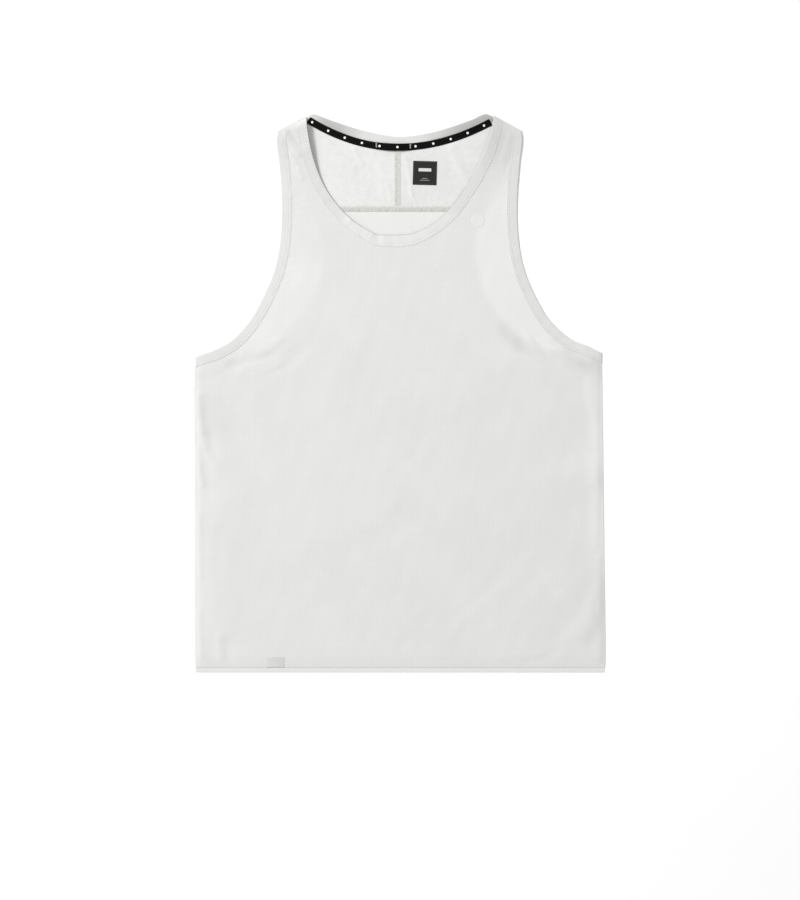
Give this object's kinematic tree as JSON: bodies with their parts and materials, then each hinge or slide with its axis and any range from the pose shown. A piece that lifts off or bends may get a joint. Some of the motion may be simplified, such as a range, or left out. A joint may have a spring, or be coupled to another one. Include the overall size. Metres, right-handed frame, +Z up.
{
  "type": "running singlet",
  "caption": "Men's sleeveless mesh running singlet with a racer back, bound neck and armholes and a neck tape, laid flat and face up.",
  "frame": {"origin": "centre of the garment's box in plan, on the surface that it lies on", "axes": "+X to the wearer's left, +Y from the hem to the neck, +Z up from the surface, so the front faces +Z"},
  "size_m": [0.521, 0.7068, 0.0077],
  "materials": {
    "mesh_knit": "matte mesh knit",
    "back_knit": "matte ribbed knit, inner face",
    "binding": "smooth folded knit",
    "seam_tape": "overlocked seam",
    "spotted_tape": "woven tape with small light spots",
    "label": "woven label",
    "badge": "tone on tone transfer",
    "tab": "checked woven tab"
  },
  "bodies": {
    "root": {"front_panel": "mesh_knit", "back_lower": "mesh_knit", "back_yoke_right": "back_knit", "back_yoke_left": "back_knit", "neck_band": "binding", "armhole_band_right": "binding", "armhole_band_left": "binding", "centre_back_seam": "seam_tape", "yoke_seam": "seam_tape", "neck_tape": "spotted_tape", "hanging_loop": "spotted_tape", "size_label": "label", "chest_badge": "badge", "hem_tab": "tab"}
  },
  "joints": []
}
